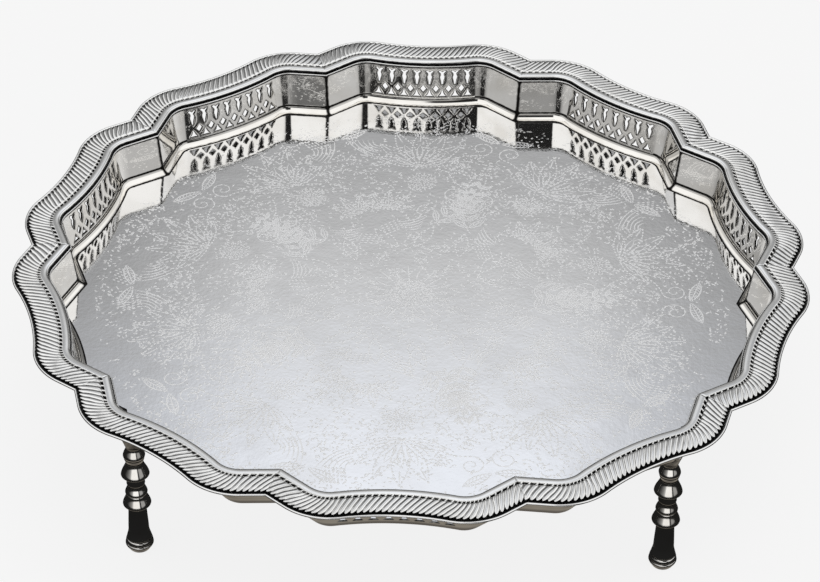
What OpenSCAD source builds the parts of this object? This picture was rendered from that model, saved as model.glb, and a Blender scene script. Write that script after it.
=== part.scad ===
// Footed gallery tray: a flat engraved floor, a pierced gallery of ten bowed lobes,
// a gadrooned border over the gallery, and four turned legs screwed up into bosses.
// The origin is on the table under the middle of the tray, and +Z is up.

/* [Tray] */
// Nominal width, across the lobes
tray_w = 400; // [360:5:440]
// Height of the polished floor above the table
floor_z = 68.5; // [66:0.5:80]
// Height of the gallery above the floor
gallery_h = 22.5; // [22:0.5:30]
// Thickness of the floor and gallery sheet
sheet_t = 1.1; // [0.8:0.1:1.6]
// Width of the foot that the gallery turns in under the floor's edge
flange_w = 6.6; // [5:0.2:7]

/* [Piercing] */
// Distance between two columns of holes
hole_pitch = 7; // [6:0.1:7.4]
// Number of tall holes in one lobe
hole_columns = 8; // [4:1:8]

/* [Border] */
// Reach of the border outwards from the gallery's inner face
border_w = 18.5; // [18.5:0.5:20]

/* [Legs] */
// Distance from the middle of the tray to a leg's axis
leg_axis_r = 174.5; // [150:0.5:176]
// Angle of a leg's axis from the tray's left and right ends
leg_angle = 43; // [40:0.1:46]
// Diameter of the threaded stud in each leg
stud_d = 4; // [3:0.5:5]
// Length of the threaded stud
stud_l = 11; // [8:1:14]

/* [Hidden] */

$fn = 180;
bright = "#D3D5D8";
polished = "#BFC3C9";
patina = "#6F6D6B";

// Plan of one lobe, drawn with the lobe's own axis along +X. A lobe is one shallow arc
// that bows inwards, a tight corner at each of its ends, and a straight run from each
// corner to the cusp that it shares with the next lobe.
lobes = 10;
half_lobe = 180 / lobes;
plan_scale = tray_w / 400;
corner_x = 165 * plan_scale;
corner_y = 30.5 * plan_scale;
lip_corner_r = 31.5 * plan_scale;
panel_x = 309 * plan_scale;
run_turn = 39.3;
panel_half = atan2(corner_y, panel_x - corner_x);
arc_gap = norm([corner_y, panel_x - corner_x]);

// Radii of the two arcs at a distance out from the gallery's inner face
function corner_r(out) = lip_corner_r - border_w + out;
function panel_r(out) = arc_gap - corner_r(out);

gallery_top = floor_z + gallery_h;
floor_bottom = floor_z - sheet_t;
arc_steps = 6;

// Angle of leg axes, and where each leg ends at the boss above it
leg_angles = [180 + leg_angle, 360 - leg_angle, leg_angle, 180 - leg_angle];
neck_z = floor_bottom - 3.2;
stud_z = neck_z - 0.75 * stud_l;

// Turned outline of a leg as [height, radius] at its swells and necks, up to the neck: a
// foot, a shaft, two cones and a ring, a taller cone and a bulb
leg_swells = [
    [0, 5.2], [3.2, 6.9], [11.8, 5.05], [26.8, 4.4], [28.9, 6.9], [34.8, 4.9],
    [36.1, 5.45], [40.2, 4.1], [41.7, 4.5], [45.6, 4], [47.5, 6.9], [54.7, 4.25],
    [59.4, 5.35], [64.2, 3.7]
];
leg_scale = neck_z / 64.2;
swell_steps = 5;
boss_r = 5.8;

// Point at a distance out, along an arc of a lobe's plan
function on_arc(centre, radius, angle) = centre + radius * [cos(angle), sin(angle)];

// Half of a lobe's plan, from the middle of its panel to its cusp
function half_plan(out) = let (
    panel = [for (i = [0 : arc_steps - 1])
        on_arc([panel_x, 0], panel_r(out), 180 - panel_half * i / arc_steps)],
    corner = [for (i = [0 : arc_steps])
        let (angle = -panel_half + (panel_half + run_turn) * i / arc_steps)
        on_arc([corner_x, corner_y], corner_r(out), angle)],
    start = corner[arc_steps],
    run = [-sin(run_turn), cos(run_turn)],
    across = [-sin(half_lobe), cos(half_lobe)],
    cusp = start - run * (start * across) / (run * across)
) concat(panel, corner, [cusp]);

function turned(points, angle) = [for (p = points)
    [p.x * cos(angle) - p.y * sin(angle), p.x * sin(angle) + p.y * cos(angle)]];

function flipped(points) = [for (i = [len(points) - 1 : -1 : 1]) [points[i].x, -points[i].y]];

function reversed(points) = [for (i = [len(points) - 1 : -1 : 0]) points[i]];

// One lobe's plan from cusp to cusp
function lobe_plan(out) = let (half = half_plan(out)) concat(flipped(half), half);

// Whole outline of the ten lobes; each lobe leaves its last cusp to the next one
function tray_plan(out) = let (lobe = lobe_plan(out), open_lobe = [for (i = [0 : len(lobe) - 2]) lobe[i]])
    [for (n = [1 : lobes]) each turned(open_lobe, half_lobe * (2 * n - 1))];

// Eases from one swell of a turned outline to the next, flat at both
function ease(t) = (1 - cos(180 * t)) / 2;

function turned_outline(swells) = concat(
    [for (i = [0 : len(swells) - 2]) for (k = [0 : swell_steps - 1])
        let (t = k / swell_steps, a = swells[i], b = swells[i + 1])
        [a[1] + (b[1] - a[1]) * ease(t), a[0] + (b[0] - a[0]) * t]],
    [[swells[len(swells) - 1][1], swells[len(swells) - 1][0]]]);

// Carries a section along one lobe. The section's X is the distance out from the
// gallery's inner face and its Y is the height. The ends are mitred at the cusps.
module lobe_sweep(section) {
    paths = [for (p = section) lobe_plan(p.x)];
    rings = len(paths[0]);
    sides = len(section);
    points = [for (i = [0 : rings - 1]) for (j = [0 : sides - 1])
        [paths[j][i].x, paths[j][i].y, section[j].y]];
    skin = [for (i = [0 : rings - 2]) for (j = [0 : sides - 1])
        let (a = i * sides + j, b = i * sides + (j + 1) % sides)
        [a, a + sides, b + sides, b]];
    first_end = [for (j = [0 : sides - 1]) j];
    last_end = [for (j = [sides - 1 : -1 : 0]) (rings - 1) * sides + j];
    polyhedron(points, concat(skin, [first_end, last_end]));
}

// Upright band between two outlines of one lobe
module lobe_band(inner, outer, bottom, top) {
    translate([0, 0, bottom])
        linear_extrude(top - bottom)
            polygon(concat(lobe_plan(outer), reversed(lobe_plan(inner))));
}

// Turns a lobe from +X to its place; lobe 1 lies just past the +X cusp
module at_lobe(n) {
    rotate([0, 0, half_lobe * (2 * n - 1)])
        children();
}

// Puts a hole's outline through the panel, at a distance along it from its middle
module pierce(along) {
    cut_l = 8;
    translate([panel_x, 0, 0])
        rotate([0, 0, 180 - along / panel_r(0) * 180 / PI])
            translate([panel_r(0) - cut_l / 2, 0, gallery_top])
                rotate([90, 0, 90])
                    linear_extrude(cut_l)
                        children();
}

module mirrored_outline(half) {
    polygon(concat(half, [for (i = [len(half) - 1 : -1 : 0]) [-half[i].x, half[i].y]]));
}

// Tall vase-shaped hole with an eared head
module vase_hole() {
    mirrored_outline([[0.3, -11.3], [0.5, -9.2], [1.15, -6.9], [0.65, -5.2], [2, -3.6], [1.5, -2.3], [0.4, -3.1]]);
}

// Bell-shaped hole under each tall one
module bell_hole() {
    mirrored_outline([[2.4, -19], [1.2, -17.9], [0.6, -16.3], [0.3, -14.4]]);
}

// Kite-shaped hole between two columns
module kite_hole() {
    polygon([[0, -16.2], [1.6, -13.4], [0, -11], [-1.6, -13.4]]);
}

module gallery_strip() {
    first = -(hole_columns - 1) / 2;
    color(polished)
        difference() {
            union() {
                lobe_band(0, sheet_t, floor_bottom, gallery_top);
                lobe_band(-flange_w, sheet_t, floor_bottom, floor_z);
            }
            for (i = [0 : hole_columns - 1]) {
                pierce((first + i) * hole_pitch) vase_hole();
                pierce((first + i) * hole_pitch) bell_hole();
            }
            for (i = [0 : hole_columns - 2])
                pierce((first + i + 0.5) * hole_pitch) kite_hole();
        }
}

// Section of the border, which rises outwards: a hollow by the gallery, a bead in a
// groove, the band that carries the gadroons, and a thin lip. The band takes up any
// extra width.
function border_section() = let (extra = border_w - 18.5, z = gallery_top) [
    [0, z], [0, z + 0.5], [1.3, z + 0.3], [2.4, z + 0.6], [3.6, z + 1.3], [4.5, z + 1.9],
    [5.1, z + 2], [5.8, z + 1.6], [6.7, z + 2.4], [8.6, z + 2.9],
    [11 + extra / 2, z + 3.1], [13.6 + extra, z + 3], [15.6 + extra, z + 2.5],
    [16.6 + extra, z + 1.9], [17.3 + extra, z + 2.6], [18.1 + extra, z + 2.6],
    [18.5 + extra, z + 2.2], [18.5 + extra, z + 1.9], [17.6 + extra, z + 1.3], [sheet_t, z]
];

module border_piece() {
    color(bright)
        lobe_sweep(border_section());
}

module floor_plate() {
    color(bright)
        translate([0, 0, floor_bottom])
            linear_extrude(sheet_t)
                polygon(tray_plan(-flange_w));
}

module at_leg(n) {
    rotate([0, 0, leg_angles[n]])
        translate([leg_axis_r, 0, 0])
            children();
}

// The stud's bore, from its lower end up through whatever is cut
module stud_space() {
    translate([0, 0, stud_z])
        cylinder(d = stud_d, h = stud_l);
}

// Turned leg, bored from above for the stud
module leg() {
    outline = turned_outline(leg_swells);
    color(patina)
        difference() {
            rotate_extrude()
                polygon(concat([[0, 0]], [for (p = outline) [p.x, p.y * leg_scale]], [[0, neck_z]]));
            stud_space();
        }
}

// Flared collar soldered under the floor, bored from below for the stud
module boss() {
    outline = turned_outline([[neck_z, leg_swells[len(leg_swells) - 1][1]], [floor_bottom - 0.6, boss_r]]);
    color(patina)
        difference() {
            rotate_extrude()
                polygon(concat([[0, neck_z]], outline, [[boss_r, floor_bottom], [0, floor_bottom]]));
            stud_space();
        }
}

// Stud that holds a leg in its boss
module stud() {
    color(polished)
        stud_space();
}

module gallery_01() { at_lobe(1) gallery_strip(); }
module gallery_02() { at_lobe(2) gallery_strip(); }
module gallery_03() { at_lobe(3) gallery_strip(); }
module gallery_04() { at_lobe(4) gallery_strip(); }
module gallery_05() { at_lobe(5) gallery_strip(); }
module gallery_06() { at_lobe(6) gallery_strip(); }
module gallery_07() { at_lobe(7) gallery_strip(); }
module gallery_08() { at_lobe(8) gallery_strip(); }
module gallery_09() { at_lobe(9) gallery_strip(); }
module gallery_10() { at_lobe(10) gallery_strip(); }
module border_01() { at_lobe(1) border_piece(); }
module border_02() { at_lobe(2) border_piece(); }
module border_03() { at_lobe(3) border_piece(); }
module border_04() { at_lobe(4) border_piece(); }
module border_05() { at_lobe(5) border_piece(); }
module border_06() { at_lobe(6) border_piece(); }
module border_07() { at_lobe(7) border_piece(); }
module border_08() { at_lobe(8) border_piece(); }
module border_09() { at_lobe(9) border_piece(); }
module border_10() { at_lobe(10) border_piece(); }
module leg_front_left() { at_leg(0) leg(); }
module leg_front_right() { at_leg(1) leg(); }
module leg_back_right() { at_leg(2) leg(); }
module leg_back_left() { at_leg(3) leg(); }
module boss_front_left() { at_leg(0) boss(); }
module boss_front_right() { at_leg(1) boss(); }
module boss_back_right() { at_leg(2) boss(); }
module boss_back_left() { at_leg(3) boss(); }
module stud_front_left() { at_leg(0) stud(); }
module stud_front_right() { at_leg(1) stud(); }
module stud_back_right() { at_leg(2) stud(); }
module stud_back_left() { at_leg(3) stud(); }

floor_plate();
gallery_01();
gallery_02();
gallery_03();
gallery_04();
gallery_05();
gallery_06();
gallery_07();
gallery_08();
gallery_09();
gallery_10();
border_01();
border_02();
border_03();
border_04();
border_05();
border_06();
border_07();
border_08();
border_09();
border_10();
leg_front_left();
leg_front_right();
leg_back_right();
leg_back_left();
boss_front_left();
boss_front_right();
boss_back_right();
boss_back_left();
stud_front_left();
stud_front_right();
stud_back_right();
stud_back_left();
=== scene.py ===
import math

import bpy
import numpy as np
from mathutils import Matrix, Vector


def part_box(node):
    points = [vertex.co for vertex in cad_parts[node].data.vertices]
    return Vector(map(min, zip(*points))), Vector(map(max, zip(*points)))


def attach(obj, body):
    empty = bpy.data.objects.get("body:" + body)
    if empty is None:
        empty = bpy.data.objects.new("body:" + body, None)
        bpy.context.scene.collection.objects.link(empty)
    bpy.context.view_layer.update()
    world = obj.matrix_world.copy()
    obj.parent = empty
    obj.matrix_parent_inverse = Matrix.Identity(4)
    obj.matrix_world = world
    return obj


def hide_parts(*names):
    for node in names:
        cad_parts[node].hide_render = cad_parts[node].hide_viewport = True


# Footed silver gallery tray: engraved floor, pierced gallery, gadrooned border, turned legs.
# Shapes are worked out in millimetres in the tray's own frame (origin on the table under the
# middle, +Z up, a cusp of the border on +X) and become metres when a mesh is made.

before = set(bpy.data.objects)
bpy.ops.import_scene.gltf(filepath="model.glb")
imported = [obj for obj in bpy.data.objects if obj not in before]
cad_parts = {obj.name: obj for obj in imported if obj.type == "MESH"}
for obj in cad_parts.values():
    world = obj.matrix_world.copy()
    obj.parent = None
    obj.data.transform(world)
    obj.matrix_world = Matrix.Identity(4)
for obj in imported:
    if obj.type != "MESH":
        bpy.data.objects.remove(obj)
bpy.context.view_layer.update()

MM = 0.001
TAU = 2 * math.pi


def top_of(node):
    """Height of a node's top."""
    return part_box(node)[1].z / MM


def bottom_of(node):
    """Height of a node's underside."""
    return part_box(node)[0].z / MM


# ---------------------------------------------------------------- sizes from the frame

LOBES = 10
HALF_LOBE = math.pi / LOBES
FLOOR_TOP = top_of("floor_plate")
FLOOR_BOTTOM = bottom_of("floor_plate")
SHEET = FLOOR_TOP - FLOOR_BOTTOM
GALLERY_TOP = top_of("gallery_01")
NECK = top_of("leg_front_left")

# Plan of one lobe with its axis along +X: a shallow arc that bows inwards, a corner arc at
# each end, and a straight run from each corner to the cusp. CORNER and PANEL_X are the arcs'
# centres, LIP_CORNER_R is the corner's radius at the lip, FLANGE is the width of the
# gallery's foot, and LEAN is how far the wall leans in.
CORNER = np.array([165.0, 30.5])
LIP_CORNER_R = 31.5
BORDER_W = 18.5
PANEL_X = 309.0
RUN_TURN = math.radians(39.3)
PANEL_HALF = math.atan2(CORNER[1], PANEL_X - CORNER[0])
ARC_GAP = math.hypot(CORNER[1], PANEL_X - CORNER[0])
FLANGE = 6.6
LEAN = 2.2


# ---------------------------------------------------------------- plan of a lobe

def corner_radius(out):
    """Radius of the corner arc: it grows with the distance out."""
    return LIP_CORNER_R - BORDER_W + out


def panel_radius(out):
    """Radius of the panel's arc, whose centre is outside: it shrinks with the distance out."""
    return ARC_GAP - corner_radius(out)


def run_length(out):
    """Length of the straight run: from the end of the corner arc to the half-lobe plane."""
    start_x = CORNER[0] + corner_radius(out) * math.cos(RUN_TURN)
    start_y = CORNER[1] + corner_radius(out) * math.sin(RUN_TURN)
    across = -start_x * math.sin(HALF_LOBE) + start_y * math.cos(HALF_LOBE)
    closing = (math.sin(RUN_TURN) * math.sin(HALF_LOBE)
               + math.cos(RUN_TURN) * math.cos(HALF_LOBE))
    return -across / closing


def lobe_plan(station, out):
    """Plan point of a lobe. |station| runs 0 to 1 over half the panel (angle pi minus
    PANEL_HALF times it, about the panel's centre), 1 to 2 round the corner arc and 2 to 3
    along the run. out is the distance outwards from the gallery's inner face."""
    station, out = np.broadcast_arrays(np.asarray(station, float), np.asarray(out, float))
    side = np.where(station < 0, -1.0, 1.0)
    way = np.abs(station)
    angle = math.pi - PANEL_HALF * np.clip(way, 0, 1)
    panel_x = PANEL_X + panel_radius(out) * np.cos(angle)
    panel_y = panel_radius(out) * np.sin(angle)
    turn = -PANEL_HALF + (PANEL_HALF + RUN_TURN) * np.clip(way - 1, 0, 1)
    corner_x = CORNER[0] + corner_radius(out) * np.cos(turn)
    corner_y = CORNER[1] + corner_radius(out) * np.sin(turn)
    along = run_length(out) * np.clip(way - 2, 0, 1)
    x = np.where(way < 1, panel_x, corner_x - along * math.sin(RUN_TURN))
    y = np.where(way < 1, panel_y, corner_y + along * math.cos(RUN_TURN))
    return x, side * y


def piece_lengths(out):
    """Lengths of half a panel, one corner and one run at a distance out."""
    return np.array([panel_radius(out) * PANEL_HALF,
                     corner_radius(out) * (PANEL_HALF + RUN_TURN),
                     run_length(out)])


def station_at(length, out):
    """Station at a signed length from the lobe's middle, measured along the line at out."""
    marks = np.concatenate([[0], np.cumsum(piece_lengths(out))])
    return np.sign(length) * np.interp(np.abs(length), marks, [0, 1, 2, 3])


def turn_lobe(points, lobe):
    """Turns points of the lobe on +X to their own lobe; lobe 0 lies just past the +X cusp."""
    angle = HALF_LOBE * (2 * lobe + 1)
    c, s = math.cos(angle), math.sin(angle)
    return np.column_stack([points[:, 0] * c - points[:, 1] * s,
                            points[:, 0] * s + points[:, 1] * c, points[:, 2]])


# ---------------------------------------------------------------- making meshes

def grid_quads(rows, cols, first=0, wrap=False):
    """Quads of a rows by cols grid of points numbered row by row; wrap joins the last
    column to the first."""
    r, c = np.meshgrid(np.arange(rows - 1), np.arange(cols if wrap else cols - 1), indexing="ij")
    a = r * cols + c
    b = r * cols + (c + 1) % cols
    return first + np.stack([a, b, b + cols, a + cols], axis=-1).reshape(-1, 4)


WELD = 2e-4


def weld(points, quads):
    """Joins points that round to the same multiple of WELD, and turns quads that lose a side
    into triangles. Gives the points, the faces and which of the old points were kept."""
    keys = np.round(points / WELD).astype(np.int64)
    first, new = np.unique(keys, axis=0, return_index=True, return_inverse=True)[1:]
    new = new.reshape(-1)
    faces = []
    for quad in new[quads].tolist():
        corners = [v for i, v in enumerate(quad) if v != quad[i - 1]]
        if len(set(corners)) >= 3:
            faces.append(corners)
    return points[first], faces, first


def make_piece(name, points, faces, material, replaces=(), recess=None, crease=40):
    """A mesh object from points in millimetres. Its painted shade is a value for each point, 0 on open
    metal and 1 in deep hollows, that the material turns into dark painted shade."""
    mesh = bpy.data.meshes.new(name)
    mesh.from_pydata((points * MM).tolist(), [], [list(f) for f in faces])
    # per-point painted shade: how dark each point is painted for shade falling in hollows
    if recess is not None:
        layer = mesh.attributes.new("recess", "FLOAT", "POINT")
        layer.data.foreach_set("value", recess.astype(np.float32))
    mesh.update()
    mesh.polygons.foreach_set("use_smooth", np.ones(len(mesh.polygons), bool))
    mesh.set_sharp_from_angle(angle=math.radians(crease))
    mesh.materials.append(material)
    piece = bpy.data.objects.new(name, mesh)
    bpy.context.scene.collection.objects.link(piece)
    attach(piece, "root")
    if replaces:
        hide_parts(*replaces)


def smooth_step(x):
    """3x^2 - 2x^3 from 0 to 1, and flat beyond them."""
    x = np.clip(x, 0, 1)
    return x * x * (3 - 2 * x)


def curve_through(places, values, at):
    """Cubic through values given at places, with slopes from the neighbours (Catmull-Rom)."""
    at = np.asarray(at, float)
    slope = np.gradient(values, places)
    i = np.clip(np.searchsorted(places, at, side="right") - 1, 0, len(places) - 2)
    span = places[i + 1] - places[i]
    t = (at - places[i]) / span
    return ((2 * t**3 - 3 * t**2 + 1) * values[i] + (t**3 - 2 * t**2 + t) * span * slope[i]
            + (3 * t**2 - 2 * t**3) * values[i + 1] + (t**3 - t**2) * span * slope[i + 1])


# ---------------------------------------------------------------- materials

def link(tree, a, b):
    """Joins output a to input b."""
    tree.links.new(a, b)


def feed(tree, socket, value):
    """Links a socket to an input, or sets the input to a plain value."""
    if isinstance(value, bpy.types.NodeSocket):
        link(tree, value, socket)
    else:
        socket.default_value = value


def add_node(tree, kind, **settings):
    """A new node with its settings."""
    node = tree.nodes.new(kind)
    for key, value in settings.items():
        setattr(node, key, value)
    return node


def math_node(tree, operation, *values, clamp=False):
    """A Math node; values are sockets or numbers. Gives its output socket."""
    node = add_node(tree, "ShaderNodeMath", operation=operation, use_clamp=clamp)
    for socket, value in zip(node.inputs, values):
        feed(tree, socket, value)
    return node.outputs[0]


def blend_colour(tree, factor, a, b):
    """A Mix node for colours; a and b are sockets or (r, g, b)."""
    node = add_node(tree, "ShaderNodeMix", data_type="RGBA")
    link(tree, factor, node.inputs["Factor"])
    for socket, value in zip(node.inputs[6:8], (a, b)):
        feed(tree, socket, (*value, 1) if isinstance(value, tuple) else value)
    return node.outputs[2]


def smooth_range(tree, value, low, high, at_low=0.0, at_high=1.0):
    """Smooth step of a value from at_low, at or below low, to at_high, at or above high."""
    node = add_node(tree, "ShaderNodeMapRange", interpolation_type="SMOOTHSTEP")
    link(tree, value, node.inputs["Value"])
    for name, number in (("From Min", low), ("From Max", high),
                         ("To Min", at_low), ("To Max", at_high)):
        node.inputs[name].default_value = number
    return node.outputs["Result"]


def noise(tree, place, scale, detail, roughness=0.5):
    """A noise over the piece; scale is a socket or a number."""
    node = add_node(tree, "ShaderNodeTexNoise")
    link(tree, place, node.inputs["Vector"])
    feed(tree, node.inputs["Scale"], scale)
    node.inputs["Detail"].default_value = detail
    node.inputs["Roughness"].default_value = roughness
    return node.outputs["Fac"]


def bump(tree, height, strength, normal=None):
    """A bump of 1 mm times strength, over another bump's normal if one is given."""
    node = add_node(tree, "ShaderNodeBump")
    node.inputs["Distance"].default_value = MM
    link(tree, strength, node.inputs["Strength"])
    link(tree, height, node.inputs["Height"])
    if normal is not None:
        link(tree, normal, node.inputs["Normal"])
    return node.outputs["Normal"]


def tarnish_and_shade_group():
    """Group of silver tarnish and painted shade: from the painted shade mask and noises it gives a
    colour between clean silver and a dark colour that stands for shade in hollows and for tarnish
    specks, a roughness, and a normal with slight dents and a fine grain."""
    tree = bpy.data.node_groups.new("silver tarnish and painted shade", "ShaderNodeTree")
    face = tree.interface
    for name, kind, value in (("Clean", "NodeSocketColor", (0.9, 0.9, 0.9, 1)),
                              ("Shade And Tarnish", "NodeSocketColor", (0.05, 0.045, 0.04, 1)),
                              ("Film", "NodeSocketColor", (0.7, 0.66, 0.58, 1)),
                              ("Film Amount", "NodeSocketFloat", 0.2),
                              ("Polish", "NodeSocketFloat", 0.1),
                              ("Dents", "NodeSocketFloat", 0.05),
                              ("Dent Scale", "NodeSocketFloat", 60.0),
                              ("Grain", "NodeSocketFloat", 0.0)):
        face.new_socket(name, in_out="INPUT", socket_type=kind).default_value = value
    for name, kind in (("Colour", "NodeSocketColor"), ("Roughness", "NodeSocketFloat"),
                       ("Normal", "NodeSocketVector")):
        face.new_socket(name, in_out="OUTPUT", socket_type=kind)
    start = add_node(tree, "NodeGroupInput").outputs
    end = add_node(tree, "NodeGroupOutput").inputs
    place = add_node(tree, "ShaderNodeTexCoord").outputs["Object"]
    recess = add_node(tree, "ShaderNodeAttribute", attribute_name="recess").outputs["Fac"]

    specks = math_node(tree, "MULTIPLY_ADD", noise(tree, place, 420, 4), 0.5, -0.25)
    # Painted shade in hollows, plus random tarnish specks, chooses the dark colour.
    mask = smooth_range(tree, math_node(tree, "ADD", recess, specks), 0.22, 0.72)
    film = smooth_range(tree, noise(tree, place, 34, 5, 0.62), 0.4, 0.68)
    film_amount = math_node(tree, "MULTIPLY", film, start["Film Amount"])
    surface = blend_colour(tree, film_amount, start["Clean"], start["Film"])
    link(tree, blend_colour(tree, mask, surface, start["Shade And Tarnish"]), end["Colour"])

    uneven = math_node(tree, "MULTIPLY_ADD", film, 0.05, start["Polish"])
    dull = math_node(tree, "MULTIPLY", mask, 0.35)
    link(tree, math_node(tree, "ADD", uneven, dull, clamp=True), end["Roughness"])

    dented = bump(tree, noise(tree, place, start["Dent Scale"], 2), start["Dents"])
    link(tree, bump(tree, noise(tree, place, 620, 2), start["Grain"], dented), end["Normal"])
    return tree


TARNISH_AND_SHADE = tarnish_and_shade_group()


def silver(name, clean, shade_and_tarnish_colour, film, metal=1.0, **finish):
    """A silver finish: metal whose colour, roughness and dents come from the tarnish and painted shade
    group.
    finish names the group's other inputs."""
    material = bpy.data.materials.new(name)
    material.use_nodes = True
    tree = material.node_tree
    shader = tree.nodes["Principled BSDF"]
    shader.inputs["Metallic"].default_value = metal
    group = add_node(tree, "ShaderNodeGroup", node_tree=TARNISH_AND_SHADE)
    for colour_name, colour in (("Clean", clean), ("Shade And Tarnish", shade_and_tarnish_colour), ("Film", film)):
        group.inputs[colour_name].default_value = (*colour, 1)
    for finish_name, value in finish.items():
        group.inputs[finish_name.replace("_", " ").title()].default_value = value
    link(tree, group.outputs["Colour"], shader.inputs["Base Color"])
    link(tree, group.outputs["Roughness"], shader.inputs["Roughness"])
    link(tree, group.outputs["Normal"], shader.inputs["Normal"])
    return material


# Each finish's second, dark colour is both the painted shade in hollows and the colour of tarnish
# specks.
BORDER_SILVER = silver("border silver", (0.96, 0.96, 0.95), (0.008, 0.008, 0.008), (0.80, 0.79, 0.76),
                       film_amount=0.4, polish=0.11, dents=0.03)
GALLERY_SILVER = silver("gallery silver", (0.96, 0.94, 0.90), (0.012, 0.011, 0.010), (0.74, 0.70, 0.63),
                        film_amount=0.5, polish=0.045, dents=0.07, dent_scale=45.0)
FLOOR_SILVER = silver("floor silver", (0.90, 0.905, 0.915), (0.05, 0.05, 0.05), (0.80, 0.80, 0.80),
                      film_amount=0.5, polish=0.035, dents=0.03, dent_scale=90.0, grain=0.018)
ENGRAVED_SILVER = silver("engraved silver", (0.97, 0.97, 0.97), (0.1, 0.1, 0.1), (0.86, 0.86, 0.86),
                         metal=0.72, film_amount=0.5, polish=0.26, dents=0.0)
LEG_SILVER = silver("leg silver", (0.95, 0.93, 0.89), (0.010, 0.010, 0.009), (0.66, 0.62, 0.56),
                    film_amount=0.5, polish=0.06, dents=0.06)
STUD_STEEL = silver("stud steel", (0.50, 0.49, 0.47), (0.05, 0.05, 0.05), (0.35, 0.33, 0.30),
                    film_amount=0.5, polish=0.3, dents=0.0)


# ---------------------------------------------------------------- border

GADROONS = 44          # in one section
GADROON_STEPS = 12     # points across one gadroon
GADROON_LEAN = 0.62    # slant: sideways for each millimetre outwards
GADROON_PITCH = 2.83
GADROON_H = 0.34

# Distances out from the gallery's inner face. The band's fine steps run BAND_FROM to BAND_TO;
# the gadroons swell up at BAND_IN, are counted along BAND_MID and end by BAND_OUT, less
# SCALLOP between two of them.
BAND_FROM, BAND_TO = 4.3, 17.15
BAND_IN, BAND_MID, BAND_OUT = 5.7, 14.0, 16.85
BAND_LAST = 17
SCALLOP = 2.2
PIT_IN, PIT_OUT, PIT_DEEP = 4.4, 5.9, 0.9
# HOLLOW_AT and GROOVE_AT place painted shade lines: in the hollow behind the wire and in the groove
# before the lip.
HOLLOW_AT, GROOVE_AT = 0.42, 17.2
GROOVE_LEVEL = 1.6
SEAM_DEEP = 0.08

# Height of the border above the gallery's top at distances out, without the gadroons: a
# wire, a hollow, a rounded step, the band, a narrow groove and the rolled lip
BORDER_LINE = np.array([
    [-0.05, 0.0], [-0.35, 0.12], [-0.42, 0.38], [-0.25, 0.60],
    [0.0, 0.62], [0.2, 0.46], [0.35, 0.45], [0.5, 0.65], [0.6, 1.60], [0.8, 2.20], [1.2, 2.45],
    [1.9, 2.56], [2.8, 2.62], [3.7, 2.62], [4.2, 2.60], [4.8, 2.52], [5.6, 2.40], [6.6, 2.50],
    [9.2, 2.60], [11.0, 2.62], [12.6, 2.60], [14.0, 2.54], [15.3, 2.42], [16.2, 2.28], [17.0, 2.15],
    [17.2, 1.62], [17.35, 1.75], [17.55, 2.05], [17.9, 2.15], [18.2, 2.06], [18.42, 1.78],
    [18.5, 1.50]])
BORDER_UNDER = np.array([[18.42, 1.28], [18.1, 1.05], [17.2, 0.80], [16.2, 0.80], [14.5, 0.95],
                         [9.0, 1.20], [4.5, 0.60], [1.1, 0.0]])


def border_section():
    """Section points (out, height) from the gallery's inner face over the top to the lip:
    the moulding's own points, with the gadroon band in finer steps near its scalloped end."""
    before = BORDER_LINE[BORDER_LINE[:, 0] < BAND_FROM]
    after = BORDER_LINE[BORDER_LINE[:, 0] > BAND_TO]
    band = np.concatenate([np.arange(BAND_FROM, 6.5, 0.15), np.arange(6.5, 14.2, 0.36),
                           np.arange(14.2, BAND_TO, 0.12)])
    places, heights = BORDER_LINE[(BORDER_LINE[:, 0] >= 0) & (BORDER_LINE[:, 0] <= BAND_LAST)].T
    band_heights = curve_through(places, heights, np.minimum(band, BAND_LAST))
    return np.vstack([before, np.column_stack([band, band_heights]), after])


def notch(distance, width):
    """1 on a line and falling off as a bell curve to either side of it."""
    return np.exp(-((distance / width) ** 2))


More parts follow.
